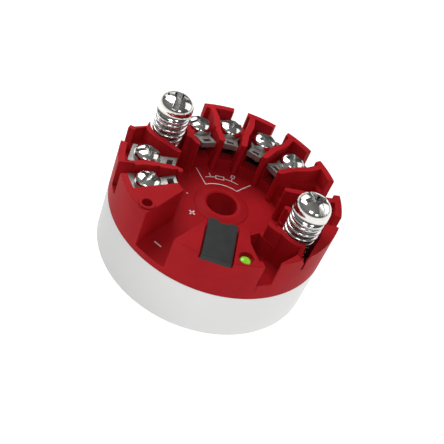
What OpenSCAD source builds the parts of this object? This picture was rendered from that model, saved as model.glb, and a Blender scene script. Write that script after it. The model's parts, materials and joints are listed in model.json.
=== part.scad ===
/* [Body] */
// Outside diameter of the round body
body_d = 44; // [43.5:0.1:44.5]
// Height of the lower casing
casing_h = 11; // [10.8:0.1:11.4]
// Height of the red band between casing and deck
band_h = 1.5; // [1.4:0.1:1.8]
// Height of the terminal walls above the deck
wall_h = 7.7; // [7.4:0.1:8]
// Radial width of the ring that holds the terminals
ring_w = 10.3; // [10.1:0.1:10.4]
// Radius of the hole in the middle of the deck
centre_r = 3.15; // [3:0.05:3.3]

/* [Terminals] */
// Distance from the rim to the terminal screws
terminal_inset = 5.3; // [5.2:0.05:5.4]
// Height of the terminal seats above the deck
seat_h = 4.5; // [4.4:0.05:4.6]
// Thickness of the webs between the terminals
web_t = 1.2; // [1:0.05:1.3]
// Thickness of the outer panels
panel_t = 1.3; // [1.1:0.05:1.4]
// Width of a wire slot in the rim
slot_w = 3; // [2.8:0.05:3.1]
// Height of the wire slots above the deck
slot_sill = 2.2; // [2.1:0.05:2.4]
// Thickness of a terminal strip
strip_t = 1.2; // [1:0.05:1.3]
// Width of a terminal tongue
tongue_w = 3.1; // [2.9:0.05:3.2]
// Rise of the tongue towards the middle
tongue_rise = 0.8; // [0.6:0.05:0.9]
// Diameter of a terminal screw's head
head_d = 5; // [4.9:0.05:5.2]
// Height of a terminal screw's head
head_h = 1.85; // [1.7:0.05:1.95]
// Diameter of a terminal screw's thread
thread_d = 2.9; // [2.8:0.05:3]
// Thickness of a clamp plate
clamp_t = 1.1; // [1:0.05:1.2]

/* [Mounting screws] */
// Distance from the rim to the mounting screws
mount_inset = 5.5; // [5.45:0.05:5.55]
// Diameter of a mounting screw's thread
mount_d = 4; // [3.9:0.05:4.1]
// Diameter of a mounting screw's head
mount_head_d = 6.8; // [6.6:0.05:7]
// Height of a mounting screw's head
mount_head_h = 3.8; // [3.6:0.05:4]
// Height of the free spring
spring_h = 13.9; // [13.7:0.05:14.1]
// Outside diameter of the spring
spring_d = 6.6; // [6.5:0.05:6.7]
// Thickness of the spring wire
wire_d = 0.76; // [0.7:0.02:0.78]
// Curls in one spring
spring_curls = 9; // [8:1:9]

/* [Interface cover] */
// Width of the dark cover
cover_w = 5.4; // [5.2:0.05:5.6]
// Thickness of the dark cover
cover_t = 1; // [0.9:0.05:1.1]
// Height of the front platform above the deck
platform_h = 7.2; // [7.1:0.05:7.3]

/* [Hidden] */
$fn = 96;

// Colours of the materials
red = "firebrick";
nickel = "silver";

// One overrun for every cut
over = 1;
// Gap between a moving piece and its neighbour
clear = 0.3;
// Gap between two fixed pieces that fit together
fit = 0.1;

// Heights, from the bottom up
body_r = body_d / 2;
deck_z = casing_h + band_h;
wall_z = deck_z + wall_h;
seat_z = deck_z + seat_h;
sill_z = deck_z + slot_sill;
platform_z = deck_z + platform_h;
bay_rise = 0.5;
bay_floor_z = deck_z + bay_rise;
window_sill = 1.9;

// Bays round the rim: angles of the screws and of the wire slots, and
// shares of the usual slot width
bay_angles = [209.9, 235.5, 151.3, 127.7, 101.8, 76.6, 52, 26.5];
slot_angles = [204.9, 230.8, 147.6, 122.7, 98.1, 73.4, 48.2, 22, 326.9];
slot_shares = [1.45, 1, 1, 1, 1, 1, 1.35, 1, 1];
terminal_count = 6;
deck_r = body_r - ring_w;
terminal_r = body_r - terminal_inset;
panel_r = body_r - panel_t;
slot_inner_r = terminal_r + head_d / 2 - clear;
// Where the webs end, and how their middle line swings to both sides
web_length = 11.1;
web_nose_r = body_r - web_length;
web_angles = [139.2, 115, 89.4, 64.5, 37.6];
web_swing_shares = [[0, -0.2], [0.35, 1], [0.7, -0.6], [1, 0.5]];
web_swing_angle = 1;

// Lower pockets, where the clamp plates slide
pocket_w = 4.9;
pocket_inner = 2.7;
pocket_outer = 2.9;

// Terminal strip, seen from the terminal screw
tongue_reach = 5.7;
tongue_bend = 2.7;
strip_w = 5.2;
strip_neck_w = 4.3;
strip_shoulder = 0.5;
strip_inner = 1.9;
strip_outer = 3.1;
tongue_hole_at = 4.5;
tongue_hole_l = 1;
tongue_hole_w = 1.5;
leg_t = 0.8;
leg_at = strip_outer - leg_t;
leg_w = 1.8;
leg_side = 0.6;
strip_hole_d = thread_d + 0.5 * clear;

// Terminal screws and clamp plates
head_edge_h = 0.9;
slot_cut_w = 0.75;
slot_cut_depth = 0.8;
cross_l = 3.2;
thread_point = 0.4;
clamp_l = 4.4;
clamp_w = pocket_w - 2 * clear;
clamp_z = bay_floor_z + clear;
clamp_hole_d = thread_d + 2 * fit;
groove_w = 0.4;
groove_depth = 0.15;

// Wells of the mounting screws
mount_x = body_r - mount_inset;
well_gap = 0.4;
well_r = spring_d / 2 + well_gap;
well_wall = 1.05;
well_depth = 2.3;
well_floor_z = deck_z - well_depth;
well_floor_t = 1.2;
screw_hole_d = mount_d + 2 * clear;
mouth_low = 3.2;
mouth_high = 1.35;
fin_t = 1.1;
left_arc_angles = [[208, 340], [20, 105]];
right_arc_angles = [[200, 318], [62, 160]];
left_fin_high_shares = [[-0.605, 0.16], [-0.575, 0.11], [-0.5, 0.088], [-0.468, 0.072]];
left_fin_low_shares = [[-0.7, -0.19], [-0.6, -0.172], [-0.495, -0.164]];
left_jamb_shares = [[-0.89, -0.14], [-0.895, -0.2], [-0.93, -0.3]];
left_open_shares = [[-0.75, 0], [-0.898, -0.1], [-0.873, -0.16], [-0.925, -0.27], [-1.1, -0.35],
    [-1.1, 0.2], [-0.87, 0.13]];
right_fin_high_shares = [[0.605, 0.16], [0.57, 0.12], [0.525, 0.105]];
right_fin_low_shares = [[0.66, -0.19], [0.6, -0.196], [0.557, -0.192]];
right_jamb_shares = [[0.865, -0.15], [0.905, -0.215], [0.96, -0.285]];
right_open_shares = [[0.77, 0], [0.912, 0.045], [0.95, -0.142], [0.968, -0.215], [0.925, -0.225],
    [0.893, -0.165], [0.87, -0.12]];
side_pocket_shares = [[0.5, -0.2], [0.56, -0.225], [0.66, -0.225], [0.72, -0.15], [0.83, -0.17],
    [0.872, -0.23], [0.893, -0.3], [0.862, -0.48], [0.8, -0.6], [0.59, -0.475], [0.45, -0.35]];
outer_block_shares = [[0.86, 0.2], [0.868, 0.259], [1.03, 0.31], [1.1, 0], [1, -0.24],
    [0.955, -0.215], [0.95, -0.142], [0.912, 0.045]];
open_h = 2.5;
notch_w = 2.2;
notch_drop = 1.5;
notch_angle = -14.5;

// Left block with the test contact
block_wall_x = 3.1;
ring_angles = [-42, 250];
left_gap_angles = [168, 196];
right_gap_angles = [-16, 12];
block_angles = [245, 270];
platform_room_shares = [[0, -1.2], [0.05, -0.5], [0.3, -0.35], [0.47, -0.35], [0.585, -0.49],
    [0.8, -0.59], [1.1, -0.75], [1.1, -1.2]];
test_place_shares = [-0.214, -0.895];
test_hole_d = 1.9;
test_collar_d = 3;
test_collar_h = 0.25;
test_contact_wall = 0.3;
test_contact_drop = 1.2;
partition_shares = [[227.5, 0.97], [224.2, 0.77], [224.6, 0.55], [227, 0.475]];

// Front platform, cover and interface
platform_shares = [[0.155, -1.1], [0.165, -0.95], [0.176, -0.727], [0.18, -0.57], [0.3, -0.5],
    [0.465, -0.373], [0.573, -0.495], [0.805, -0.641], [0.95, -0.72], [0.9, -1.1]];
cover_angle = -60;
cover_l = 9.6;
cover_inner_r = body_r - cover_l;
cover_end = 0.15;
cover_side_gap = 0.35;
socket_w = 4.4;
socket_l = 7.6;
socket_inset = 1;
socket_outer_r = body_r - socket_inset;
socket_inner_r = socket_outer_r - socket_l;
latch_t = 0.6;
latch_l = 2;
latch_h = 1.6;
notch_l = 1.8;
notch_depth = 0.45;
header_h = 2.6;
header_gap = 0.35;
pin_w = 0.64;
pin_pitch = 2;
pin_h = 4.6;
led_angle = -45.5;
led_inset = 1.8;
led_r_at = body_r - led_inset;
led_d = 2;
led_recess_d = 2.8;
led_recess_depth = 0.5;
led_h = 4;
led_dome = 0.15;
lead_w = 0.4;
lead_gap = 1;
lead_inset = 0.7;

// Lower casing, board and what is on it
casing_gap = 0.2;
casing_r = body_r - casing_gap;
casing_wall = 1;
casing_floor = 1.2;
shelf_w = 1;
board_drop = 3;
board_z = casing_h - board_drop;
board_t = 1.6;
board_top = board_z + board_t;
board_gap = 0.5;
board_r = casing_r - casing_wall - board_gap;
tube_wall = 0.8;
sleeve_wall = 0.65;
sleeve_r = centre_r + sleeve_wall;
centre_tube_r = sleeve_r + fit + tube_wall;
centre_rim = 0.8;
tube_top_z = well_floor_z - well_floor_t;
screw_tube_r = 3.4;
label_edge = 0.3;
label_top_gap = 0.05;
spigot_w = 1;
spigot_h = 1.2;
resin_gap = 0.6;
chip_l = 6;
chip_h = 1;
chip_at_shares = [-0.3, 0.5];
transformer_w = 8;
transformer_h = 3;
resin_h = board_z - transformer_h - resin_gap - casing_floor;
transformer_gap = 1.1;
transformer_angle = 55;
transformer_r = casing_r - casing_wall - shelf_w - transformer_gap - transformer_w / 2;
capacitor_d = 5;
capacitor_h = 3.2;
capacitor_at_shares = [0.1, -0.6];
header_l = board_r - socket_inner_r - 2 * header_gap;
pin_first = header_l / 2 - pin_pitch;
pin_row = pin_pitch / 2;

// Mounting screw, its spring and its retainer
spring_foot_z = well_floor_z;
spring_top_z = spring_foot_z + spring_h;
mount_edge_h = 2.5;
mount_slot_w = 1.1;
mount_slot_depth = 1.2;
mount_cross_l = 4.4;
mount_tip_z = 0.3;
retainer_t = 0.6;
retainer_d = 6.2;
retainer_gap = 2.2;
retainer_groove = 0.4;
retainer_play = 0.1;
retainer_z = tube_top_z - retainer_t - retainer_play;
rings_per_curl = 8;
wire_sides = 6;
end_corners = 5;

// Point at a radius and an angle
function polar(r, a) = [r * cos(a), r * sin(a)];

// Points of a list of shares, on the body
function on_body(shares) = [for (s = shares) [s.x * body_r, s.y * body_r]];

// Direction from point i of a line to the next, and square to it
function leg_way(line, i) = unit(line[i + 1] - line[i]);
function left_of(v) = [-v.y, v.x];

// Side shift at point i of a line, so that both legs keep the wall's thickness
function side_shift(line, i, t) =
    i == 0 ? left_of(leg_way(line, 0)) * t / 2 :
    i == len(line) - 1 ? left_of(leg_way(line, i - 1)) * t / 2 :
    let (before = left_of(leg_way(line, i - 1)), after = left_of(leg_way(line, i)))
    (before + after) * t / (2 * (1 + before * after));

// Round end of a wall: points of a half circle after the given direction
function round_end(place, way, t) =
    [for (k = [1 : end_corners]) place + t / 2 * (cos(180 * k / (end_corners + 1)) * -left_of(way)
        + sin(180 * k / (end_corners + 1)) * way)];

// Wall along a line of points, with round ends
module wall_path(line, t) {
    last = len(line) - 1;
    polygon(concat(
        [for (i = [0 : last]) line[i] - side_shift(line, i, t)],
        round_end(line[last], leg_way(line, last - 1), t),
        [for (i = [last : -1 : 0]) line[i] + side_shift(line, i, t)],
        round_end(line[0], -leg_way(line, 0), t)));
}

// Wedge of the plan between two angles, less than a turn
module wedge(from, to) {
    steps = ceil((to - from) / 60);
    polygon(concat([[0, 0]],
        [for (i = [0 : steps]) polar(3 * body_r, from + (to - from) * i / steps)]));
}

// Ring between two radii
module ring(inner, outer) {
    difference() {
        circle(r = outer);
        circle(r = inner);
    }
}

// Middle line of a radial web, swung a little to both sides
function web_line(angle) = [for (s = web_swing_shares)
    polar(web_nose_r + s.x * (panel_r - web_nose_r), angle + s.y * web_swing_angle)];

// Round foot that stands around one well, in plan
module well_foot(side) {
    translate([side * mount_x, 0])
        circle(r = well_r + well_wall);
}

// Part of the round wall of a well, between two angles seen from the well
module well_arc(side, arc) {
    translate([side * mount_x, 0])
        intersection() {
            ring(well_r - fit, well_r + well_wall);
            wedge(arc[0], arc[1]);
        }
}

// Walls round the left well: the rim side is open
module left_well_walls() {
    for (arc = left_arc_angles)
        well_arc(-1, arc);
    wall_path(on_body(left_fin_high_shares), fin_t);
    wall_path(on_body(left_fin_low_shares), fin_t);
    wall_path(on_body(left_jamb_shares), fin_t);
}

// Walls round the right well, with a narrow way out to the rim
module right_well_walls() {
    for (arc = right_arc_angles)
        well_arc(1, arc);
    wall_path(on_body(right_fin_high_shares), fin_t);
    wall_path(on_body(right_fin_low_shares), fin_t);
    wall_path(on_body(right_jamb_shares), fin_t);
    polygon(on_body(outer_block_shares));
}

// Block between the second terminal and the open test channel
module left_block() {
    intersection() {
        ring(deck_r, 2 * body_r);
        wedge(block_angles[0], block_angles[1]);
        translate([-2 * body_r - block_wall_x, -2 * body_r])
            square(2 * body_r);
    }
}

// Walls that stand in both storeys of the ring, in plan
module common_walls() {
    for (a = web_angles)
        wall_path(web_line(a), web_t);
    wall_path([for (s = partition_shares) polar(s[1] * body_r, s[0])], web_t);
    left_well_walls();
    right_well_walls();
    left_block();
    polygon(on_body(platform_shares));
}

// Plan of what stands below the terminal seats
module lower_plan() {
    intersection() {
        ring(deck_r, 2 * body_r);
        wedge(ring_angles[0], ring_angles[1]);
    }
    for (side = [-1, 1])
        well_foot(side);
    common_walls();
}

// Plan of the thin walls above the terminal seats
module upper_plan() {
    intersection() {
        ring(panel_r, 2 * body_r);
        union() {
            wedge(right_gap_angles[1], left_gap_angles[0]);
            wedge(left_gap_angles[1], ring_angles[1]);
            wedge(ring_angles[0], right_gap_angles[0]);
        }
    }
    common_walls();
}

// Room round the lower walls, down to the deck
module lower_room() {
    translate([0, 0, deck_z])
        linear_extrude(wall_h + over)
            difference() {
                circle(r = 1.5 * body_r);
                lower_plan();
            }
}

// Room round the upper walls, down to the terminal seats
module upper_room() {
    translate([0, 0, seat_z])
        linear_extrude(wall_h + over)
            difference() {
                circle(r = 1.5 * body_r);
                upper_plan();
            }
}

// Room above the front platform
module platform_room() {
    translate([0, 0, platform_z])
        linear_extrude(wall_h)
            polygon(on_body(platform_room_shares));
}

// Register under the housing that enters the casing
module spigot() {
    outer = casing_r - casing_wall - fit;
    translate([0, 0, casing_h - spigot_h])
        linear_extrude(spigot_h + fit)
            ring(outer - spigot_w, outer);
}

// Tubes under the deck that carry the springs
module well_tubes() {
    translate([0, 0, tube_top_z])
        linear_extrude(deck_z - tube_top_z)
            for (side = [-1, 1])
                intersection() {
                    circle(r = casing_r - casing_wall - fit);
                    translate([side * mount_x, 0])
                        circle(r = well_r + well_wall);
                }
}

// What one bay takes out of the lower storey
module bay_cuts(angle, empty) {
    rotate([0, 0, angle]) {
        translate([terminal_r - pocket_inner, -pocket_w / 2, bay_floor_z])
            cube([pocket_inner + pocket_outer, pocket_w, wall_h]);
        translate([deck_r - over, -tongue_w / 2 - fit, deck_z + window_sill])
            cube([terminal_r - deck_r, tongue_w + 2 * fit, wall_h]);
        if (!empty)
            translate([terminal_r + leg_at - fit, leg_side - fit, casing_h - spigot_h - over])
                cube([leg_t + 2 * fit, leg_w + 2 * fit, seat_z - casing_h + spigot_h + 2 * over]);
        if (!empty)
            translate([terminal_r, 0, seat_z])
                linear_extrude(strip_t + fit)
                    polygon(strip_outline(fit));
    }
}

// Wire slot through the outer panel
module slot_cut(angle, share) {
    width = slot_w * share;
    rotate([0, 0, angle])
        translate([slot_inner_r, -width / 2, sill_z])
            cube([body_r, width, wall_h]);
}

// Open side of a well, above the low walls
module well_opening(shares) {
    translate([0, 0, deck_z + open_h])
        linear_extrude(wall_h)
            polygon(on_body(shares));
}

// Well, its mouth and its screw hole
module well_cuts(side) {
    translate([side * mount_x, 0, well_floor_z])
        cylinder(r = well_r, h = wall_h + well_depth + over);
    translate([side * mount_x, 0, 0])
        cylinder(d = screw_hole_d, h = wall_z);
    translate([side > 0 ? 0 : -mount_x, -mouth_low, deck_z])
        cube([mount_x, mouth_low + mouth_high, wall_h + over]);
}

// V notch in the rim beside a well
module notch_cut(angle) {
    rotate([0, 0, angle])
        translate([body_r - 2 * panel_t, 0, wall_z])
            rotate([0, 90, 0])
                linear_extrude(3 * panel_t)
                    polygon([[0, -notch_w / 2], [notch_drop, 0], [0, notch_w / 2],
                        [-over, notch_w / 2], [-over, -notch_w / 2]]);
}

// Room for the interface: recess of the cover, socket and light
module front_cuts() {
    rotate([0, 0, cover_angle]) {
        translate([cover_inner_r - over, -cover_w / 2 - cover_side_gap, platform_z - cover_t - fit])
            cube([body_r, cover_w + 2 * cover_side_gap, cover_t + over]);
        translate([socket_inner_r, -socket_w / 2, casing_h - spigot_h - over])
            cube([socket_outer_r - socket_inner_r, socket_w, platform_z]);
    }
    rotate([0, 0, led_angle])
        translate([led_r_at, 0, 0]) {
            translate([0, 0, platform_z - led_recess_depth])
                cylinder(d = led_recess_d, h = led_recess_depth + over);
            translate([0, 0, platform_z - led_recess_depth - led_h])
                cylinder(d = led_d + 2 * fit, h = led_h + over);
            translate([-lead_inset - lead_w / 2 - fit, -lead_gap / 2 - lead_w / 2 - fit, 0])
                cube([lead_w + 2 * fit, lead_gap + lead_w + 2 * fit, platform_z - led_h]);
        }
}

// Blind hole of the test contact
module test_cut() {
    translate(concat(test_place_shares * body_r, [deck_z + test_contact_drop]))
        cylinder(d = test_hole_d, h = wall_h + over);
}

// Low soft ridge round the hole in the middle
module centre_ridge() {
    translate([0, 0, deck_z])
        difference() {
            cylinder(r1 = centre_r + centre_rim, r2 = centre_r + centre_rim / 2, h = centre_rim / 2);
            translate([0, 0, -over])
                cylinder(r = centre_r, h = 3 * over);
        }
}

// Raised ring round the test contact
module test_collar() {
    translate(concat(test_place_shares * body_r, [wall_z]))
        difference() {
            cylinder(d = test_collar_d, h = test_collar_h);
            translate([0, 0, -over])
                cylinder(d = test_hole_d, h = 3 * over);
        }
}

// Moulded red top with all its walls
module terminal_housing() {
    color(red) {
        difference() {
            union() {
                translate([0, 0, casing_h])
                    cylinder(r = body_r, h = wall_z - casing_h);
                spigot();
                well_tubes();
                translate([0, 0, label_edge])
                    cylinder(r = sleeve_r, h = casing_h - label_edge + fit);
            }
            lower_room();
            upper_room();
            platform_room();
            translate([0, 0, -over])
                cylinder(r = centre_r, h = deck_z + 2 * over);
            for (i = [0 : len(bay_angles) - 1])
                bay_cuts(bay_angles[i], i >= terminal_count);
            for (i = [0 : len(slot_angles) - 1])
                slot_cut(slot_angles[i], slot_shares[i]);
            translate([0, 0, bay_floor_z])
                linear_extrude(wall_h)
                    difference() {
                        polygon(on_body(side_pocket_shares));
                        translate([mount_x, 0])
                            circle(r = well_r + well_wall);
                    }
            for (side = [-1, 1])
                well_cuts(side);
            well_opening(left_open_shares);
            well_opening(right_open_shares);
            notch_cut(notch_angle);
            front_cuts();
            test_cut();
        }
        centre_ridge();
        test_collar();
    }
}

// Cup under the housing, with tubes for the wires and the screws
module lower_casing() {
    color("gainsboro")
        difference() {
            union() {
                difference() {
                    cylinder(r = casing_r, h = casing_h);
                    translate([0, 0, casing_floor])
                        cylinder(r = casing_r - casing_wall - shelf_w, h = casing_h);
                    translate([0, 0, board_z])
                        cylinder(r = casing_r - casing_wall, h = casing_h);
                }
                cylinder(r = centre_tube_r, h = casing_h);
                for (side = [-1, 1])
                    intersection() {
                        translate([side * mount_x, 0, 0])
                            cylinder(r = screw_tube_r + tube_wall, h = tube_top_z);
                        cylinder(r = casing_r - fit, h = casing_h);
                    }
            }
            translate([0, 0, -over])
                cylinder(r = sleeve_r + fit, h = casing_h + 2 * over);
            for (side = [-1, 1])
                translate([side * mount_x, 0, 0]) {
                    translate([0, 0, casing_floor])
                        cylinder(r = screw_tube_r, h = casing_h);
                    translate([0, 0, -over])
                        cylinder(d = screw_hole_d, h = casing_h);
                }
        }
}

// Silver band that wraps the casing
module wrap_label() {
    color("whitesmoke")
        translate([0, 0, label_edge])
            linear_extrude(casing_h - label_edge - label_top_gap)
                ring(casing_r, body_r);
}

// Round circuit board on the shelf of the casing
module main_board() {
    color("seagreen")
        translate([0, 0, board_z])
            linear_extrude(board_t)
                difference() {
                    circle(r = board_r);
                    circle(r = centre_tube_r + fit);
                    for (side = [-1, 1])
                        translate([side * mount_x, 0])
                            circle(r = well_r + well_wall + fit);
                }
}

// Flat chip on top of the board
module processor_chip() {
    color("dimgray")
        translate(concat(chip_at_shares * body_r, [board_top]))
            translate([-chip_l / 2, -chip_l / 2, 0])
                cube([chip_l, chip_l, chip_h]);
}

// Isolating transformer under the board
module transformer() {
    color("darkslategray")
        rotate([0, 0, transformer_angle])
            translate([transformer_r, 0, board_z - transformer_h])
                difference() {
                    translate([-transformer_w / 2, -transformer_w / 2, 0])
                        cube([transformer_w, transformer_w, transformer_h]);
                    for (s = [-1, 1])
                        translate([0, s * transformer_w / 2, -over])
                            cylinder(d = transformer_h, h = transformer_h - over);
                }
}

// Round capacitor under the board
module reservoir_capacitor() {
    color("goldenrod")
        translate(concat(capacitor_at_shares * body_r, [board_z - capacitor_h]))
            cylinder(d = capacitor_d, h = capacitor_h);
}

// Resin poured on the floor of the casing
module potting_resin() {
    color("darkolivegreen")
        translate([0, 0, casing_floor])
            linear_extrude(resin_h)
                difference() {
                    circle(r = casing_r - casing_wall - shelf_w - fit);
                    circle(r = centre_tube_r + fit);
                    for (side = [-1, 1])
                        translate([side * mount_x, 0])
                            circle(r = screw_tube_r + tube_wall + fit);
                }
}

// Socket body on the board, under the dark cover
module interface_header() {
    color("dimgray")
        rotate([0, 0, cover_angle])
            translate([socket_inner_r + header_gap, 0, board_top])
                difference() {
                    translate([0, -socket_w / 2 + header_gap, 0])
                        cube([header_l, socket_w - 2 * header_gap, header_h]);
                    for (i = [0 : 2], s = [-1, 1])
                        translate([pin_first + i * pin_pitch, s * pin_row, -over])
                            translate([-pin_w / 2 - fit, -pin_w / 2 - fit, 0])
                                cube([pin_w + 2 * fit, pin_w + 2 * fit, pin_h]);
                }
}

// Gold pins of the interface
module interface_pins() {
    color("gold")
        rotate([0, 0, cover_angle])
            translate([socket_inner_r + header_gap, 0, board_top])
                for (i = [0 : 2], s = [-1, 1])
                    translate([pin_first + i * pin_pitch - pin_w / 2, s * pin_row - pin_w / 2, 0])
                        cube([pin_w, pin_w, pin_h]);
}

// Dark cover over the interface, with two latches and a finger notch
module interface_cover() {
    low = platform_z - cover_t;
    color("darkslategray")
        rotate([0, 0, cover_angle])
            difference() {
                union() {
                    translate([cover_inner_r, -cover_w / 2, low])
                        cube([body_r + cover_end - cover_inner_r, cover_w, cover_t]);
                    for (s = [-1, 1])
                        translate([(socket_inner_r + socket_outer_r) / 2 - latch_l / 2,
                                s * (socket_w / 2 - clear - latch_t / 2) - latch_t / 2,
                                low - latch_h])
                            cube([latch_l, latch_t, latch_h + fit]);
                }
                translate([cover_inner_r - over, -notch_l / 2, low - over])
                    cube([notch_depth + over, notch_l, cover_t + 2 * over]);
            }
}

// Round light beside the cover
module status_led() {
    top = platform_z - led_recess_depth;
    color("limegreen")
        rotate([0, 0, led_angle])
            translate([led_r_at, 0, top - led_h])
                intersection() {
                    cylinder(d = led_d, h = led_h + led_dome);
                    translate([0, 0, led_h + led_dome - led_d])
                        sphere(r = led_d);
                }
}

// Two leads from the light to the board
module led_leads() {
    color(nickel)
        rotate([0, 0, led_angle])
            for (s = [-1, 1])
                translate([led_r_at - lead_inset - lead_w / 2, s * lead_gap / 2 - lead_w / 2, board_top])
                    cube([lead_w, lead_w, platform_z - led_recess_depth - led_h - board_top]);
}

// Sleeve that takes a test probe
module test_contact() {
    color(nickel)
        translate(concat(test_place_shares * body_r, [deck_z + test_contact_drop]))
            difference() {
                cylinder(d = test_hole_d - fit, h = wall_h - 2 * test_contact_drop);
                translate([0, 0, test_contact_drop])
                    cylinder(d = test_hole_d - fit - 2 * test_contact_wall, h = wall_h);
            }
}

// Outline of a strip's flat part, grown by a gap
function strip_outline(gap) =
    let (right = [[-tongue_bend, -tongue_w / 2 - gap], [-strip_inner, -strip_neck_w / 2 - gap],
            [strip_shoulder, -strip_w / 2 - gap], [strip_outer + gap, -strip_w / 2 - gap]])
    concat(right, [for (i = [len(right) - 1 : -1 : 0]) [right[i].x, -right[i].y]]);

// Terminal strip: seat under the screw, raised tongue and leg to the board
module terminal(angle) {
    color(nickel)
        rotate([0, 0, angle])
            translate([terminal_r, 0, 0])
                difference() {
                    union() {
                        translate([0, 0, seat_z])
                            linear_extrude(strip_t)
                                polygon(strip_outline(0));
                        translate([0, tongue_w / 2, 0])
                            rotate([90, 0, 0])
                                linear_extrude(tongue_w)
                                    polygon([[-tongue_bend, seat_z], [-tongue_bend, seat_z + strip_t],
                                        [-tongue_reach, seat_z + strip_t + tongue_rise],
                                        [-tongue_reach, seat_z + tongue_rise]]);
                        translate([leg_at, leg_side, board_top])
                            cube([leg_t, leg_w, seat_z - board_top]);
                    }
                    translate([0, 0, seat_z - over])
                        cylinder(d = strip_hole_d, h = strip_t + 2 * over);
                    translate([-tongue_hole_at - tongue_hole_l / 2, -tongue_hole_w / 2, seat_z])
                        cube([tongue_hole_l, tongue_hole_w, strip_t + tongue_rise + over]);
                }
}

// Domed head: a cylinder under a spherical cap
module domed_head(d, h, edge_h) {
    rise = h - edge_h;
    cap_r = (d * d / 4 + rise * rise) / (2 * rise);
    intersection() {
        cylinder(d = d, h = h);
        translate([0, 0, h - cap_r])
            sphere(r = cap_r);
    }
}

// Slot across a head and a shorter cross arm, cut from its top
module drive_cut(d, top, width, depth, cross) {
    translate([-d / 2 - over, -width / 2, top - depth])
        cube([d + 2 * over, width, depth + over]);
    translate([-width / 2, -cross / 2, top - depth])
        cube([width, cross, depth + over]);
}

// Terminal screw, its head on the strip and its thread in the clamp plate
module terminal_screw(angle, turn) {
    top = seat_z + strip_t + head_h;
    color(nickel)
        rotate([0, 0, angle])
            translate([terminal_r, 0, 0])
                rotate([0, 0, turn])
                    difference() {
                        union() {
                            translate([0, 0, seat_z + strip_t])
                                domed_head(head_d, head_h, head_edge_h);
                            translate([0, 0, clamp_z + thread_point])
                                cylinder(d = thread_d, h = seat_z + strip_t - clamp_z);
                            translate([0, 0, clamp_z])
                                cylinder(d1 = thread_d - thread_point, d2 = thread_d, h = thread_point);
                        }
                        drive_cut(head_d, top, slot_cut_w, slot_cut_depth, cross_l);
                    }
}

// Plate that rises under the strip and grips the wire
module clamp_plate(angle) {
    color(nickel)
        rotate([0, 0, angle])
            translate([terminal_r, 0, clamp_z])
                difference() {
                    translate([-clamp_l / 2, -clamp_w / 2, 0])
                        cube([clamp_l, clamp_w, clamp_t]);
                    translate([0, 0, -over])
                        cylinder(d = clamp_hole_d, h = clamp_t + 2 * over);
                    for (s = [-1, 1])
                        translate([s * (clamp_l / 2 - groove_w) - groove_w / 2, -clamp_w,
                                clamp_t - groove_depth])
                            cube([groove_w, 2 * clamp_w, over]);
                }
}

// Mounting screw, kept in the housing by its retainer
module mounting_screw(side, turn) {
    top = spring_top_z + mount_head_h;
    color(nickel)
        translate([side * mount_x, 0, 0])
            rotate([0, 0, turn])
                difference() {
                    union() {
                        translate([0, 0, spring_top_z])
                            domed_head(mount_head_d, mount_head_h, mount_edge_h);
                        translate([0, 0, mount_tip_z + thread_point])
                            cylinder(d = mount_d, h = spring_top_z - mount_tip_z);
                        translate([0, 0, mount_tip_z])
                            cylinder(d1 = mount_d - 2 * thread_point, d2 = mount_d, h = thread_point);
                    }
                    drive_cut(mount_head_d, top, mount_slot_w, mount_slot_depth, mount_cross_l);
                    translate([0, 0, retainer_z - fit / 2])
                        linear_extrude(retainer_t + fit)
                            ring(mount_d / 2 - retainer_groove, mount_d);
                }
}

// Open ring in a groove of the mounting screw
module screw_retainer(side) {
    color("dimgray")
        translate([side * mount_x, 0, retainer_z])
            linear_extrude(retainer_t)
                difference() {
                    ring(mount_d / 2 - retainer_groove + fit / 2, retainer_d / 2);
                    translate([0, -retainer_gap / 2])
                        square([retainer_d, retainer_gap]);
                }
}

// Middle line of the spring wire: upright ends, and curls between them
spring_r = (spring_d - wire_d) / 2;
curl_rise = (spring_h - 4 * wire_d) / spring_curls;
function curl_point(i) = concat(polar(spring_r, 360 * i / rings_per_curl),
    [2 * wire_d + curl_rise * i / rings_per_curl]);
curl_rings = spring_curls * rings_per_curl;
spring_line = concat(
    [concat(polar(spring_r, -45), [0]), concat(polar(spring_r, -45), [wire_d])],
    [for (i = [0 : curl_rings]) curl_point(i)],
    [concat(polar(spring_r, 45), [spring_h - wire_d]), concat(polar(spring_r, 45), [spring_h])]);

function unit(v) = v / norm(v);

// Direction of the wire at a point of its line
function wire_way(line, i) =
    i == 0 || i == len(line) - 1 ? [0, 0, 1] :
    unit(unit(line[i + 1] - line[i]) + unit(line[i] - line[i - 1]));

// Corners of one ring of the wire, kept square to the wire
function wire_ring(line, i) =
    let (way = wire_way(line, i),
        out = unit([line[i].x, line[i].y, 0]),
        side = unit(cross(way, out)),
        lift = cross(side, way))
    [for (k = [0 : wire_sides - 1])
        line[i] + wire_d / 2 * (cos(360 * k / wire_sides) * lift
            + sin(360 * k / wire_sides) * side)];

// One unbroken tube along a line of points
module wire_tube(line) {
    last = len(line) - 1;
    points = [for (i = [0 : last]) each wire_ring(line, i)];
    sides = [for (i = [0 : last - 1], k = [0 : wire_sides - 1])
        let (a = i * wire_sides + k,
            b = i * wire_sides + (k + 1) % wire_sides)
        each [[a, b, b + wire_sides], [a, b + wire_sides, a + wire_sides]]];
    foot = [for (k = [1 : wire_sides - 2]) [0, k + 1, k]];
    head = [for (k = [1 : wire_sides - 2])
        [last * wire_sides, last * wire_sides + k, last * wire_sides + k + 1]];
    polyhedron(points = points, faces = concat(sides, foot, head));
}

// Spring under the head of a mounting screw
module mounting_spring(side) {
    color(nickel)
        translate([side * mount_x, 0, spring_foot_z])
            wire_tube(spring_line);
}

// Least gap of the spring to itself: nearest points at least half a curl apart
spring_last = len(spring_line) - 1;
spring_gap = min([for (i = [0 : spring_last], j = [i + rings_per_curl / 2 : 1 : spring_last])
    norm(spring_line[i] - spring_line[j])]) - wire_d;
echo(spring_least_gap = spring_gap);

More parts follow.
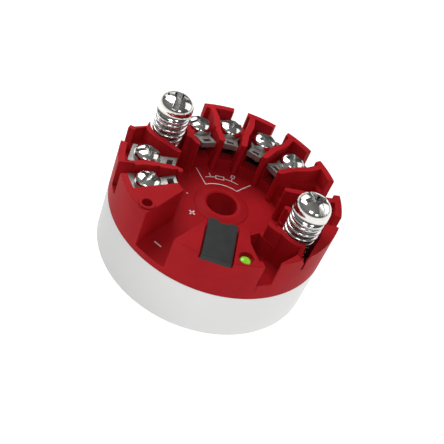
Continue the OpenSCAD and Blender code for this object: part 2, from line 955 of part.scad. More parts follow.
// How far each terminal screw and mounting screw is turned, as photographed
screw_turn_angles = [25, 40, 95, 70, 60, 50];
mount_turn_angles = [120, 150];

terminal_housing();
lower_casing();
wrap_label();
main_board();
processor_chip();
transformer();
reservoir_capacitor();
potting_resin();
interface_header();
interface_pins();
interface_cover();
status_led();
led_leads();
test_contact();
for (i = [1 : terminal_count]) {
    terminal(bay_angles[i - 1]);
    terminal_screw(bay_angles[i - 1], screw_turn_angles[i - 1]);
    clamp_plate(bay_angles[i - 1]);
}
mounting_screw(-1, mount_turn_angles[0]);  // mounting_screw_left
mounting_screw(1, mount_turn_angles[1]);  // mounting_screw_right
mounting_spring(-1);  // mounting_spring_left
mounting_spring(1);  // mounting_spring_right
screw_retainer(-1);  // screw_retainer_left
screw_retainer(1);  // screw_retainer_right
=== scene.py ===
"""Looks of the round head transmitter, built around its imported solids."""
import json
import math

import bmesh
import bpy
import numpy as np
from mathutils import Matrix, Vector


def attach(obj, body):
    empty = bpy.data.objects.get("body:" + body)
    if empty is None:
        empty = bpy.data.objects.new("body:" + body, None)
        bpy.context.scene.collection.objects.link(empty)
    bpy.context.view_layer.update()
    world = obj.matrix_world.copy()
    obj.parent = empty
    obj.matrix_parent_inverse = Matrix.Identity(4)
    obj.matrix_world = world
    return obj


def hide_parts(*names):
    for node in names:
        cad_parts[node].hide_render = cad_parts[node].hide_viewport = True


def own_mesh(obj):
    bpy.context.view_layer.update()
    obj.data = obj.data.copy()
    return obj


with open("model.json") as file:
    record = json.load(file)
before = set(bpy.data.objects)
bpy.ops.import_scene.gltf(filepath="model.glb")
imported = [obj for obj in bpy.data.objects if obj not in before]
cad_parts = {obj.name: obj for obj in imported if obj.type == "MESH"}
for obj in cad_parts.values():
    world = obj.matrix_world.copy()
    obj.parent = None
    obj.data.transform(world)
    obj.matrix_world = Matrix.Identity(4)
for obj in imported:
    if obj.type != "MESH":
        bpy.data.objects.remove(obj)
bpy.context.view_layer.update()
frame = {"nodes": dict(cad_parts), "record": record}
NODES = frame["nodes"]
MM = 0.001

# Camera fitted to the photograph: place, and its right, down and forward axes
CAMERA_PLACE = (0.045194, -0.108288, 0.111926)
CAMERA_RIGHT = (0.7528429, 0.5866897, 0.2983668)
CAMERA_DOWN = (0.5953999, -0.4137844, -0.6886809)
CAMERA_FORWARD = (-0.2805825, 0.6961161, -0.6608296)
PHOTO_SIZE = 444
FOCAL_PIXELS = 789.517
SENSOR_WIDTH = 36.0
CLIP_START = 0.005

# Sizes of the part, as in its solids, and turns of its screws' slots in degrees
DECK_Z = 12.5 * MM
TERMINAL_R = 16.7 * MM
HEAD_FOOT_Z = 18.2 * MM
MOUNT_X = 16.5 * MM
SPRING_FOOT_Z = 10.2 * MM
SPRING_TOP_Z = 24.1 * MM
SPRING_R = 2.92 * MM
WIRE_R = 0.38 * MM
SPRING_TURNS = 11
TERMINAL_ANGLES = (209.9, 235.5, 151.3, 127.7, 101.8, 76.6)
TERMINAL_TURNS = (25, 40, 95, 70, 60, 50)
MOUNT_TURNS = {"left": 120, "right": 150}


# Materials
# Share of a relief that shows, waver of the painted shade, and samples that round an edge
RELIEF_SHARE = 0.35
PAINTED_SHADE_WAVER = 0.12
EDGE_SAMPLES = 6


def new_material(name):
    """An empty material with its Principled shader; returns material, nodes, links, shader."""
    material = bpy.data.materials.new(name)
    material.use_nodes = True
    tree = material.node_tree
    shader = next(n for n in tree.nodes if n.type == "BSDF_PRINCIPLED")
    return material, tree.nodes, tree.links, shader


def add_noise(nodes, links, scale, detail=3.0, stretch=(1, 1, 1)):
    """Noise on the object's own place, in metres, stretched along its axes."""
    place = nodes.new("ShaderNodeTexCoord")
    mapping = nodes.new("ShaderNodeMapping")
    mapping.inputs["Scale"].default_value = stretch
    noise = nodes.new("ShaderNodeTexNoise")
    noise.inputs["Scale"].default_value = scale
    noise.inputs["Detail"].default_value = detail
    links.new(place.outputs["Object"], mapping.inputs["Vector"])
    links.new(mapping.outputs["Vector"], noise.inputs["Vector"])
    return noise.outputs["Fac"]


def add_ramp(nodes, links, factor, low, high, start=0.35, end=0.65):
    """Colour between low and high as the factor goes from start to end."""
    ramp = nodes.new("ShaderNodeValToRGB")
    ramp.color_ramp.elements[0].position = start
    ramp.color_ramp.elements[1].position = end
    ramp.color_ramp.elements[0].color = (*low, 1)
    ramp.color_ramp.elements[1].color = (*high, 1)
    links.new(factor, ramp.inputs["Fac"])
    return ramp.outputs["Color"]


def add_range(nodes, links, factor, low, high):
    """Number between low and high as the factor goes from 0.3 to 0.7."""
    spread = nodes.new("ShaderNodeMapRange")
    spread.inputs["From Min"].default_value = 0.3
    spread.inputs["From Max"].default_value = 0.7
    spread.inputs["To Min"].default_value = low
    spread.inputs["To Max"].default_value = high
    links.new(factor, spread.inputs["Value"])
    return spread.outputs["Result"]


def add_bump(nodes, links, shader, height, distance, edge):
    """Bump of the given height in metres on the shader's normal, over rounded edges."""
    bump = nodes.new("ShaderNodeBump")
    if edge:
        rounding = nodes.new("ShaderNodeBevel")
        rounding.samples = EDGE_SAMPLES
        rounding.inputs["Radius"].default_value = edge
        links.new(rounding.outputs["Normal"], bump.inputs["Normal"])
    bump.inputs["Strength"].default_value = RELIEF_SHARE
    bump.inputs["Distance"].default_value = distance
    links.new(height, bump.inputs["Height"])
    links.new(bump.outputs["Normal"], shader.inputs["Normal"])


def add_painted_shade(nodes, links, way, start, end, patches):
    """Painted shade: a factor that rises along a way from start to end, in metres, and wavers a
    little.
    """
    place = nodes.new("ShaderNodeTexCoord")
    along = nodes.new("ShaderNodeVectorMath")
    along.operation = "DOT_PRODUCT"
    along.inputs[1].default_value = way
    spread = nodes.new("ShaderNodeMapRange")
    spread.inputs["From Min"].default_value = start
    spread.inputs["From Max"].default_value = end
    waver = nodes.new("ShaderNodeMath")
    waver.operation = "MULTIPLY_ADD"
    waver.inputs[1].default_value = PAINTED_SHADE_WAVER
    links.new(place.outputs["Object"], along.inputs[0])
    links.new(along.outputs["Value"], spread.inputs["Value"])
    links.new(patches, waver.inputs[0])
    links.new(spread.outputs["Result"], waver.inputs[2])
    return waver.outputs["Value"]


def surface(name, low, high, patch, roughness, grain, relief, metallic=0.0, specular=0.5,
            stretch=(1, 1, 1), painted_shade=None, edge=0.0):
    """A material with patchy colour, uneven gloss and a fine relief.

    low and high are the two colours, patch and grain the noise scales per metre of colour
    and relief, roughness its least and greatest value, relief its depth in metres. The
    painted shade, if given, has the way, start and end along which the colour goes from low
    to high, darker at the start. edge is the radius that sharp edges seem to have."""
    material, nodes, links, shader = new_material(name)
    shader.inputs["Metallic"].default_value = metallic
    shader.inputs["Specular IOR Level"].default_value = specular
    patches = add_noise(nodes, links, patch)
    fine = add_noise(nodes, links, grain, stretch=stretch)
    # Painted shade: the colour goes from low to high along a way, darker at its start
    if painted_shade:
        painted_shade_factor = add_painted_shade(nodes, links, *painted_shade, patches)
        colour = add_ramp(nodes, links, painted_shade_factor, low, high, 0.0, 1.0)
    else:
        colour = add_ramp(nodes, links, patches, low, high)
    links.new(colour, shader.inputs["Base Color"])
    links.new(add_range(nodes, links, fine, *roughness), shader.inputs["Roughness"])
    add_bump(nodes, links, shader, fine, relief, edge)
    return material


MATERIALS = {
    "red_plastic": surface("red_plastic", (0.41, 0.011, 0.016), (0.47, 0.014, 0.02), 140,
                           (0.42, 0.54), 5200, 0.00001, specular=0.04, edge=0.00016),
    "casing_plastic": surface("casing_plastic", (0.62, 0.63, 0.64), (0.7, 0.71, 0.72), 160,
                              (0.42, 0.55), 4200, 0.000012),
    # The label's colour is painted shade as well as its own patchy tone: darker towards -x,
    # lighter towards +x
    "silver_foil": surface("silver_foil", (0.4, 0.405, 0.4), (0.76, 0.76, 0.755), 60,
                           (0.3, 0.38), 2600, 0.000004, metallic=0.75, stretch=(1, 1, 4),
                           painted_shade=((1, 0, 0), -0.024, 0.014)),
    "board_green": surface("board_green", (0.02, 0.13, 0.05), (0.03, 0.2, 0.08), 300,
                           (0.3, 0.45), 2600, 0.00001),
    "black_plastic": surface("black_plastic", (0.012, 0.012, 0.013), (0.022, 0.022, 0.024), 600,
                             (0.4, 0.55), 5200, 0.00001),
    "dark_grey_plastic": surface("dark_grey_plastic", (0.022, 0.023, 0.024),
                                 (0.03, 0.031, 0.032), 420, (0.45, 0.6), 6400, 0.000014,
                                 specular=0.3),
    "ferrite": surface("ferrite", (0.03, 0.03, 0.033), (0.06, 0.06, 0.065), 900,
                       (0.5, 0.7), 3000, 0.00002),
    "capacitor_yellow": surface("capacitor_yellow", (0.5, 0.3, 0.04), (0.6, 0.4, 0.07), 500,
                                (0.25, 0.4), 2600, 0.00001),
    "resin": surface("resin", (0.05, 0.055, 0.03), (0.08, 0.085, 0.045), 260,
                     (0.12, 0.3), 900, 0.00002),
    "nickel": surface("nickel", (0.74, 0.73, 0.7), (0.84, 0.83, 0.8), 500,
                      (0.08, 0.17), 2600, 0.0000015, metallic=1.0),
    "spring_steel": surface("spring_steel", (0.74, 0.74, 0.74), (0.86, 0.86, 0.85), 900,
                            (0.1, 0.18), 2600, 0.0000015, metallic=1.0),
    "gold_plate": surface("gold_plate", (0.7, 0.48, 0.14), (0.83, 0.62, 0.22), 700,
                          (0.15, 0.28), 3800, 0.000004, metallic=1.0),
    "black_steel": surface("black_steel", (0.03, 0.03, 0.034), (0.06, 0.06, 0.066), 700,
                           (0.3, 0.45), 3800, 0.000008, metallic=0.8),
    "green_lens": surface("green_lens", (0.18, 0.5, 0.02), (0.24, 0.6, 0.03), 900,
                          (0.08, 0.18), 2600, 0.000004),
}


def light_up(material, colour, strength):
    """Makes a lens glow in its own colour."""
    shader = next(n for n in material.node_tree.nodes if n.type == "BSDF_PRINCIPLED")
    shader.inputs["Emission Color"].default_value = (*colour, 1)
    shader.inputs["Emission Strength"].default_value = strength


light_up(MATERIALS["green_lens"], (0.28, 0.75, 0.04), 0.3)

# Materials that differ from the slot's own: strips, clamp plates in near-black as painted shade,
# print, and hollows and threads in darker nickel as painted shade
STRIP = surface("satin_nickel", (0.22, 0.23, 0.22), (0.32, 0.33, 0.31), 700,
                (0.36, 0.46), 2600, 0.000002, metallic=0.6)
# Near-black nickel on the clamp plates: painted shade for the dark pockets under the tongues
CLAMP_PAINTED_SHADE = surface("clamp_painted_shade", (0.02, 0.02, 0.02), (0.04, 0.04, 0.04), 900,
                (0.4, 0.5), 3800, 0.000006, metallic=0.3)
PRINT = surface("print_white", (0.9, 0.89, 0.88), (0.97, 0.96, 0.95), 700,
                (0.45, 0.6), 5200, 0.000006)
# Nickel darkened as painted shade, for the hollows of the screw heads and for the threads
PAINTED_SHADE_NICKEL = surface("nickel_painted_shade", (0.3, 0.3, 0.29), (0.42, 0.42, 0.4), 1200,
                 (0.22, 0.34), 2600, 0.000002, metallic=0.75)


def paint(obj, material):
    """Gives the whole of one object one material."""
    obj.data.materials.clear()
    obj.data.materials.append(material)


# Solids that stay as they are packed
def round_edges(obj, width, angle):
    """Bevels the edges of an object that are sharper than the angle, in degrees."""
    bevel = obj.modifiers.new("rounding", "BEVEL")
    bevel.width = width
    bevel.segments = 2
    bevel.limit_method = "ANGLE"
    bevel.angle_limit = math.radians(angle)
    bevel.harden_normals = True


def soften(obj, width):
    """Joins the split corners of a solid and rounds its sharp edges."""
    weld = obj.modifiers.new("weld", "WELD")
    weld.merge_threshold = WELD_GAP
    round_edges(obj, width, SOLID_ANGLE)


# Gap below which corners are joined, and least angle of a sharp edge, in metres and degrees
WELD_GAP = 0.000002
SOLID_ANGLE = 32
SLOT_OF = {part["node"]: part["material_slot"] for part in frame["record"]["subparts"]}
for node_name, node in NODES.items():
    paint(node, MATERIALS[SLOT_OF[node_name]])
# Strips take satin nickel; clamp plates take near-black nickel as painted shade
for i in range(1, len(TERMINAL_ANGLES) + 1):
    paint(NODES[f"terminal_{i}"], STRIP)
    paint(NODES[f"clamp_plate_{i}"], CLAMP_PAINTED_SHADE)

# Rounding of the solids' edges, in metres
STRIP_ROUNDING = 0.00012
ROUNDING = {
    "lower_casing": 0.00015, "main_board": 0.00005,
    "processor_chip": 0.00008, "transformer": 0.0001, "reservoir_capacitor": 0.0003,
    "interface_cover": 0.00012, "interface_header": 0.00008, "status_led": 0.0001,
}
for node_name, width in ROUNDING.items():
    soften(NODES[node_name], width)
for i in range(1, len(TERMINAL_ANGLES) + 1):
    soften(NODES[f"terminal_{i}"], STRIP_ROUNDING)


# New pieces
def piece(name, vertices, faces, slot_name, body, smooth=True):
    """A new mesh object that rides on a body and takes a slot's material."""
    mesh = bpy.data.meshes.new(name)
    mesh.from_pydata([tuple(v) for v in vertices], [], faces)
    mesh.update()
    obj = bpy.data.objects.new(name, mesh)
    bpy.context.scene.collection.objects.link(obj)
    if smooth:
        mesh.shade_smooth()
    paint(obj, MATERIALS[slot_name])
    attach(obj, body)
    return obj


def tube(line, radius, sides=14):
    """Vertices and faces of a round wire along a list of points, with closed ends."""
    line = np.asarray(line, float)
    ways = np.gradient(line, axis=0)
    ways /= np.linalg.norm(ways, axis=1)[:, None]
    vertices, faces = [], []
    for place, way in zip(line, ways):
        out = np.array([place[0], place[1], 0.0])
        out -= way * out.dot(way)
        out /= np.linalg.norm(out)
        up = np.cross(way, out)
        for k in range(sides):
            turn = 2 * math.pi * k / sides
            vertices.append(place + radius * (math.cos(turn) * out + math.sin(turn) * up))
    for i in range(len(line) - 1):
        for k in range(sides):
            a, b = i * sides + k, i * sides + (k + 1) % sides
            faces.append((a, b, b + sides, a + sides))
    faces.append(tuple(range(sides - 1, -1, -1)))
    faces.append(tuple(range((len(line) - 1) * sides, len(line) * sides)))
    return vertices, faces


def spring_line():
    """Middle line of a pressure spring, its first and last turn closed up."""
    low, high = SPRING_FOOT_Z + WIRE_R, SPRING_TOP_Z - WIRE_R
    steps = 40
    closed = 1.0
    closed_lead = 2.1 * WIRE_R
    lead = (high - low - 2 * closed * closed_lead) / (SPRING_TURNS - 2 * closed)
    points = []
    for i in range(SPRING_TURNS * steps + 1):
        turns = i / steps
        if turns < closed:
            z = low + turns * closed_lead
        elif turns > SPRING_TURNS - closed:
            z = high - (SPRING_TURNS - turns) * closed_lead
        else:
            z = low + closed * closed_lead + (turns - closed) * lead
        angle = 2 * math.pi * turns
        points.append((SPRING_R * math.cos(angle), SPRING_R * math.sin(angle), z))
    return points


def make_spring(side, sign):
    """Smooth coil in place of the plain one."""
    vertices, faces = tube(spring_line(), WIRE_R)
    shift = np.array([sign * MOUNT_X, 0, 0])
    coil = piece("coil_" + side, [v + shift for v in vertices], faces, "spring_steel", "housing")
    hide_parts("mounting_spring_" + side)
    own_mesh(coil)


for side, sign in (("left", -1), ("right", 1)):
    make_spring(side, sign)


# Thread: radius of its first turn as a share of the rest, start and end of the crest and
# length of the tip as shares of the pitch, and share of the first turn that has no crest
FIRST_TURN = 0.75
CREST_START, CREST_END = 0.42, 0.58
TIP_LENGTH = 0.3
BARE_SHARE = 1 / 3


def thread(radius, depth, pitch, low, high, steps=28):
    """Vertices and faces of a screw thread between two heights, with a pointed tip."""
    turns = int((high - low) / pitch)
    count = turns * steps
    vertices, faces = [], []
    for i in range(count + steps + 1):
        angle = 2 * math.pi * i / steps
        z = low + pitch * i / steps
        taper = min(1.0, FIRST_TURN + (1 - FIRST_TURN) * i / steps)
        root = (radius - depth) * taper
        crest = root if i < steps * BARE_SHARE else radius * taper
        for reach, rise in ((root, 0.0), (crest, CREST_START), (crest, CREST_END)):
            height = min(z + rise * pitch, high)
            vertices.append((reach * math.cos(angle), reach * math.sin(angle), height))
    for i in range(count):
        a, b, above, beyond = 3 * i, 3 * i + 3, 3 * (i + steps), 3 * (i + steps) + 3
        faces.append((a, b, b + 1, a + 1))
        faces.append((a + 1, b + 1, b + 2, a + 2))
        faces.append((a + 2, b + 2, beyond, above))
    middle = len(vertices)
    vertices.append((0, 0, low - TIP_LENGTH * pitch))
    faces.extend((middle, 3 * i + 3, 3 * i) for i in range(steps))
    return vertices, faces


def lathe(profile, steps=72):
    """Vertices and faces of a turned form; the profile starts and ends on the axis."""
    vertices = [(0, 0, profile[0][1])]
    for reach, z in profile[1:-1]:
        vertices += [(reach * math.cos(2 * math.pi * k / steps),
                      reach * math.sin(2 * math.pi * k / steps), z) for k in range(steps)]
    vertices.append((0, 0, profile[-1][1]))
    rows, last = len(profile) - 2, len(vertices) - 1
    faces = [(0, 1 + (k + 1) % steps, 1 + k) for k in range(steps)]
    for i in range(rows - 1):
        for k in range(steps):
            a, b = 1 + i * steps + k, 1 + i * steps + (k + 1) % steps
            faces.append((a, b, b + steps, a + steps))
    top = 1 + (rows - 1) * steps
    faces += [(top + k, top + (k + 1) % steps, last) for k in range(steps)]
    return vertices, faces


def block(x, y, low, high):
    """Vertices and faces of an upright box round the axis, x and y half its sides."""
    vertices = [(i * x, j * y, z) for z in (low, high) for i, j in
                ((-1, -1), (1, -1), (1, 1), (-1, 1))]
    faces = [(3, 2, 1, 0), (4, 5, 6, 7), (0, 1, 5, 4), (1, 2, 6, 5), (2, 3, 7, 6), (3, 0, 4, 7)]
    return vertices, faces


# Start of a head's dome as a share of its edge, and the power of the dome's curve
DOME_FOOT = 0.6
DOME_POWER = 2.2


def over_dome(reach, radius, edge, height):
    """Height of a domed head's surface at a distance from its axis."""
    foot = DOME_FOOT * edge
    rise = max(1 - (reach / radius) ** DOME_POWER, 0) ** (1 / DOME_POWER)
    return foot + (height - foot) * rise


def head_profile(radius, edge, height):
    """Half section of a domed head that stands on z = 0, its shoulder rounded."""
    chamfer = 0.04 * radius
    line = [(0, 0), (radius - chamfer, 0), (radius, chamfer)]
    shares = (1, 0.995, 0.98, 0.955, 0.92, 0.875, 0.82, 0.75, 0.66, 0.56, 0.45, 0.33, 0.21, 0.1)
    line += [(share * radius, over_dome(share * radius, radius, edge, height))
             for share in shares]
    return line + [(0, height)]


def carve(form, cutters):
    """The mesh of a closed form less the cutters, each a pair of vertices and faces."""
    scene = bpy.context.scene.collection
    bodies = []
    for vertices, faces in [form] + cutters:
        mesh = bpy.data.meshes.new("carving")
        mesh.from_pydata([tuple(v) for v in vertices], [], faces)
        obj = bpy.data.objects.new("carving", mesh)
        scene.objects.link(obj)
        bodies.append(obj)
    for cutter in bodies[1:]:
        cut = bodies[0].modifiers.new("cut", "BOOLEAN")
        cut.operation = "DIFFERENCE"
        cut.solver = "EXACT"
        cut.object = cutter
    bpy.context.view_layer.update()
    carved = bpy.data.meshes.new_from_object(
        bodies[0].evaluated_get(bpy.context.evaluated_depsgraph_get()))
    vertices = [tuple(v.co) for v in carved.vertices]
    faces = [tuple(f.vertices) for f in carved.polygons]
    for obj in bodies:
        bpy.data.objects.remove(obj)
    return vertices, faces


def screw_head(radius, edge, height, slot_width, slot_depth, cross):
    """Domed head with a slot right across, a cross arm and a hollow in the middle."""
    top = height + 0.001
    floor = height - slot_depth
    hollow = [(0, floor - 0.25 * slot_depth), (0.25 * cross, floor),
              (0.36 * cross, height + 0.2 * slot_depth), (0, height + 0.2 * slot_depth)]
    return carve(lathe(head_profile(radius, edge, height)), [
        block(2 * radius, slot_width / 2, floor, top),
        block(slot_width / 2, cross / 2, floor, top),
        lathe(hollow, 4)])


def turned(vertices, degrees, place):
    """Vertices turned about the axis and moved to their place."""
    spin = Matrix.Rotation(math.radians(degrees), 4, "Z")
    return [Vector(place) + spin @ Vector(v) for v in vertices]


# Share of a head's radius within which faces this far under its dome take darker nickel
# as painted shade, and the rounding and least angle of a head's sharp edges, in metres and
# degrees
HOLLOW_REACH = 0.93
HOLLOW_DEPTH = 0.05 * MM
HEAD_ROUNDING = 0.00006
HEAD_ANGLE = 40


def add_screw(name, node, body, place, turn, head, foot_z, shank, thread_sizes):
    """A detailed screw in place of a plain one: its head, and its thread below it, with the
    head's hollows and the thread in darker nickel as painted shade.
    """
    vertices, faces = screw_head(*head)
    top = piece(name + "_head", turned(vertices, turn, (*place, foot_z)), faces, "nickel", body,
                smooth=False)
    top.data.materials.append(PAINTED_SHADE_NICKEL)
    radius, edge, height = head[:3]
    for face in top.data.polygons:
        centre = face.center - Vector((*place, foot_z))
        reach = math.hypot(centre.x, centre.y)
        surface_z = over_dome(reach, radius, edge, height)
        # Faces deep in the slot and cross take the darker nickel: painted shade
        if reach < HOLLOW_REACH * radius and edge / 3 < centre.z < surface_z - HOLLOW_DEPTH:
            face.material_index = 1
    top.data.shade_smooth()
    round_edges(top, HEAD_ROUNDING, HEAD_ANGLE)
    vertices, faces = thread(*thread_sizes, *shank)
    rod = piece(name + "_thread", turned(vertices, turn, (*place, 0)), faces, "nickel", body)
    # The thread takes the darker nickel: painted shade
    paint(rod, PAINTED_SHADE_NICKEL)
    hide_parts(node)


# Heads: radius, edge, height, slot's width and depth, length of its cross arm
MOUNT_HEAD = (3.4 * MM, 2.5 * MM, 3.8 * MM, 1.1 * MM, 1.2 * MM, 4.4 * MM)
CLAMP_HEAD = (2.5 * MM, 0.9 * MM, 1.85 * MM, 0.75 * MM, 0.8 * MM, 3.2 * MM)
# Threads: radius, depth and pitch, and the height at which each starts
MOUNT_THREAD = (2 * MM, 0.4 * MM, 0.7 * MM)
CLAMP_THREAD = (1.45 * MM, 0.25 * MM, 0.5 * MM)
MOUNT_TIP_Z = 0.6 * MM
CLAMP_TIP_Z = 13.5 * MM
for side, sign in (("left", -1), ("right", 1)):
    add_screw("mount_screw_" + side, "mounting_screw_" + side, "mount_" + side,
              (sign * MOUNT_X, 0), MOUNT_TURNS[side], MOUNT_HEAD, SPRING_TOP_Z,
              (MOUNT_TIP_Z, SPRING_TOP_Z), MOUNT_THREAD)
for i, angle in enumerate(TERMINAL_ANGLES, 1):
    place = (TERMINAL_R * math.cos(math.radians(angle)),
             TERMINAL_R * math.sin(math.radians(angle)))
    add_screw(f"clamp_screw_{i}", f"terminal_screw_{i}", f"screw_{i}", place,
              angle + TERMINAL_TURNS[i - 1], CLAMP_HEAD, HEAD_FOOT_Z,
              (CLAMP_TIP_Z, HEAD_FOOT_Z), CLAMP_THREAD)


def polar(reach, angle):
    """Point on the deck, in millimetres."""
    return (reach * math.cos(math.radians(angle)), reach * math.sin(math.radians(angle)))


def around(reach, start, end, steps=16):
    """Points of an arc on the deck, angles in degrees, lengths in millimetres."""
    return [polar(reach, start + (end - start) * i / steps) for i in range(steps + 1)]


def ribbon(line, width, low, high):
    """Vertices and faces of a flat band along a line of points."""
    line = [Vector(p) for p in line]
    vertices, faces = [], []
    for i, place in enumerate(line):
        before = (place - line[i - 1]).normalized() if i else None
        after = (line[i + 1] - place).normalized() if i < len(line) - 1 else None
        way = ((before or after) + (after or before)).normalized()
        side = Vector((-way.y, way.x))
        stretch = 1 / max(way.dot(before or after), 0.5)
        for sign, z in ((-1, low), (1, low), (1, high), (-1, high)):
            x, y = place + side * (sign * width / 2 * stretch)
            vertices.append((x * MM, y * MM, z))
    for i in range(len(line) - 1):
        for k in range(4):
            a, b = 4 * i + k, 4 * i + (k + 1) % 4
            faces.append((a, b, b + 4, a + 4))
    faces.append((3, 2, 1, 0))
    end = 4 * (len(line) - 1)
    faces.append((end, end + 1, end + 2, end + 3))
    return vertices, faces


def join(forms):
    """Vertices and faces of several forms as one."""
    vertices, faces = [], []
    for more, more_faces in forms:
        start = len(vertices)
        vertices += more
        faces += [tuple(start + i for i in face) for face in more_faces]
    return vertices, faces


# Foot and top of the printed lines
PRINT_LOW = DECK_Z + 0.004 * MM
PRINT_HIGH = DECK_Z + 0.02 * MM


def add_marks(name, lines, width):
    """Printed lines on the deck, their points and width in millimetres."""
    vertices, faces = join([ribbon(line, width, PRINT_LOW, PRINT_HIGH) for line in lines])
    marks = piece(name, vertices, faces, "red_plastic", "housing", smooth=False)
    paint(marks, PRINT)


def rectangle(angle, reach, length, depth):
    """Outline of a box at an angle and reach on the deck, closed with a short overlap."""
    middle = Vector(polar(reach, angle))
    out = Vector(polar(1, angle))
    along = Vector((-out.y, out.x))
    corners = [middle + along * (i * length / 2) + out * (j * depth / 2)
               for i, j in ((-1, -1), (1, -1), (1, 1), (-1, 1))]
    overlap = 0.02
    return corners + [corners[0] + along * overlap]


# Generic schematic: reach of its frame, of its wire and of its taps, in millimetres
FRAME_REACH = 6.1
WIRE_REACH = 8.1
TAP_REACH = 9.2
TAP_ANGLES = (144, 113)
LOOP_WIDTH = 0.17
SIGN_WIDTH = 0.26
add_marks("loop_marks", [
    [polar(10.9, 157), polar(FRAME_REACH, 160)] + around(FRAME_REACH, 159, 96)
    + [polar(10.2, 90)],
    around(WIRE_REACH, 152, 136), rectangle(130, WIRE_REACH, 1.7, 0.9),
    around(WIRE_REACH, 124, 102),
    *[[polar(WIRE_REACH, angle), polar(TAP_REACH, angle)] for angle in TAP_ANGLES],
    rectangle(TAP_ANGLES[1], 9.6, 0.7, 0.8)], LOOP_WIDTH)
# Plus and minus of the test points, and a dot
add_marks("sign_marks", [
    [(-2.9, -6.6), (-1.5, -6.6)], [(-2.2, -5.9), (-2.2, -7.3)],
    [(-1.5, -18.4), (0.1, -18.4)],
    [(-6.4, -3.26), (-6.1, -3.26)]], SIGN_WIDTH)


def add_lip():
    """Soft ring round the hole in the middle, over its plain ridge; section in millimetres."""
    section = [(3.16, 12.3), (3.17, 12.7), (3.28, 12.93), (3.5, 13.05), (3.8, 13.06),
               (4.15, 12.96), (4.6, 12.76), (5.1, 12.59), (5.6, 12.51), (5.7, 12.3)]
    steps = 96
    vertices = [(reach * MM * math.cos(2 * math.pi * k / steps),
                 reach * MM * math.sin(2 * math.pi * k / steps), z * MM)
                for reach, z in section for k in range(steps)]
    rows = len(section)
    faces = [(i % rows * steps + k, i % rows * steps + (k + 1) % steps,
              (i + 1) % rows * steps + (k + 1) % steps, (i + 1) % rows * steps + k)
             for i in range(rows) for k in range(steps)]
    faces = [face[::-1] for face in faces]
    piece("centre_lip", vertices, faces, "red_plastic", "housing")


add_lip()


# Studio
# Way to the bright side of the sky, and its brightness from the far side to there
SKY_BRIGHT = (-0.3, -0.35, 0.85)
SKY_STEPS = ((0.0, 0.04), (0.5, 0.07), (0.68, 0.1), (0.86, 0.15), (1.0, 0.22))
# Glow of the floor and of the sky up to a height over the horizon
FLOOR_SIZE = 30
FLOOR_GLOW = 0.84
HORIZON_GLOW = 0.84
HORIZON_HEIGHT = 0.1
# Lights: name, place, side in metres and power in watts
LIGHT_TARGET = (0, 0, 0.015)
LIGHTS = (("back_left_light", (-0.4, 0.26, 0.3), 0.32, 0.44),
          ("back_right_light", (0.27, 0.4, 0.3), 0.44, 0.72),
          ("left_light", (-0.07, 0.02, 0.11), 0.08, 0.09),
          ("front_light", (0.1, -0.26, 0.3), 0.12, 0.2),
          ("right_light", (0.26, -0.14, 0.2), 0.08, 0.07))


def add_floor():
    """Pale floor under the part."""
    bpy.ops.mesh.primitive_plane_add(size=FLOOR_SIZE)
    floor = bpy.context.object
    floor.name = "floor"
    paper = surface("floor_paper", (0.42, 0.42, 0.42), (0.44, 0.44, 0.44), 4,
                    (0.85, 0.95), 900, 0.00001, specular=0.1)
    light_up(paper, (1, 1, 1), FLOOR_GLOW)
    paint(floor, paper)


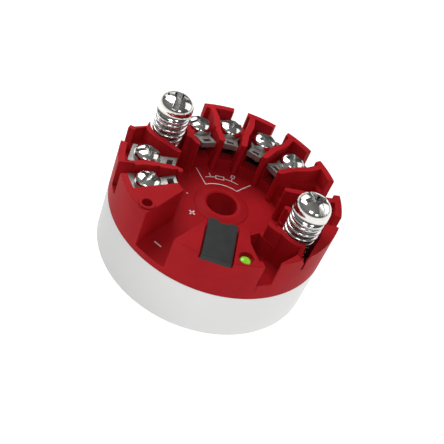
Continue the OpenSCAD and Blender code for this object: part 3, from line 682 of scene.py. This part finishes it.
def add_sky(bright_way, steps):
    """Studio light from all round, bright towards one side, with a pale horizon."""
    world = bpy.data.worlds.new("studio")
    world.use_nodes = True
    bpy.context.scene.world = world
    nodes, links = world.node_tree.nodes, world.node_tree.links
    place = nodes.new("ShaderNodeTexCoord")
    along = nodes.new("ShaderNodeVectorMath")
    along.operation = "DOT_PRODUCT"
    along.inputs[1].default_value = Vector(bright_way).normalized()
    spread = nodes.new("ShaderNodeMapRange")
    spread.inputs["From Min"].default_value = -1
    ramp = nodes.new("ShaderNodeValToRGB")
    ramp.color_ramp.interpolation = "EASE"
    for _ in steps[2:]:
        ramp.color_ramp.elements.new(0.5)
    for element, (position, value) in zip(ramp.color_ramp.elements, steps):
        element.position = position
        element.color = (value, value, value, 1)
    links.new(place.outputs["Generated"], along.inputs[0])
    links.new(along.outputs["Value"], spread.inputs["Value"])
    links.new(spread.outputs["Result"], ramp.inputs["Fac"])
    parts = nodes.new("ShaderNodeSeparateXYZ")
    low = nodes.new("ShaderNodeMapRange")
    low.inputs["From Min"].default_value = HORIZON_HEIGHT / 2
    low.inputs["From Max"].default_value = HORIZON_HEIGHT
    low.inputs["To Min"].default_value = 1
    low.inputs["To Max"].default_value = 0
    blend = nodes.new("ShaderNodeMix")
    blend.data_type = "RGBA"
    sockets = {socket.identifier: socket for socket in (*blend.inputs, *blend.outputs)}
    sockets["B_Color"].default_value = (HORIZON_GLOW, HORIZON_GLOW, HORIZON_GLOW, 1)
    links.new(place.outputs["Generated"], parts.inputs["Vector"])
    links.new(parts.outputs["Z"], low.inputs["Value"])
    links.new(low.outputs["Result"], blend.inputs["Factor"])
    links.new(ramp.outputs["Color"], sockets["A_Color"])
    links.new(sockets["Result_Color"], nodes["Background"].inputs["Color"])


def add_area(name, place, size, power):
    """Square soft light that looks at the part."""
    light = bpy.data.lights.new(name, "AREA")
    light.size = size
    light.energy = power
    obj = bpy.data.objects.new(name, light)
    bpy.context.scene.collection.objects.link(obj)
    obj.location = place
    way = Vector(LIGHT_TARGET) - Vector(place)
    obj.rotation_euler = way.to_track_quat("-Z", "Y").to_euler()


def add_camera():
    """Camera at the photograph's viewpoint, with its roll."""
    data = bpy.data.cameras.new("camera")
    data.sensor_width = SENSOR_WIDTH
    data.lens = FOCAL_PIXELS / PHOTO_SIZE * SENSOR_WIDTH
    data.clip_start = CLIP_START
    camera = bpy.data.objects.new("camera", data)
    bpy.context.scene.collection.objects.link(camera)
    axes = Matrix((CAMERA_RIGHT, -Vector(CAMERA_DOWN), -Vector(CAMERA_FORWARD))).transposed()
    camera.matrix_world = Matrix.Translation(CAMERA_PLACE) @ axes.to_4x4()
    bpy.context.scene.camera = camera


add_floor()
add_camera()
add_sky(SKY_BRIGHT, SKY_STEPS)
for light in LIGHTS:
    add_area(*light)
bpy.context.scene.view_settings.view_transform = "Standard"
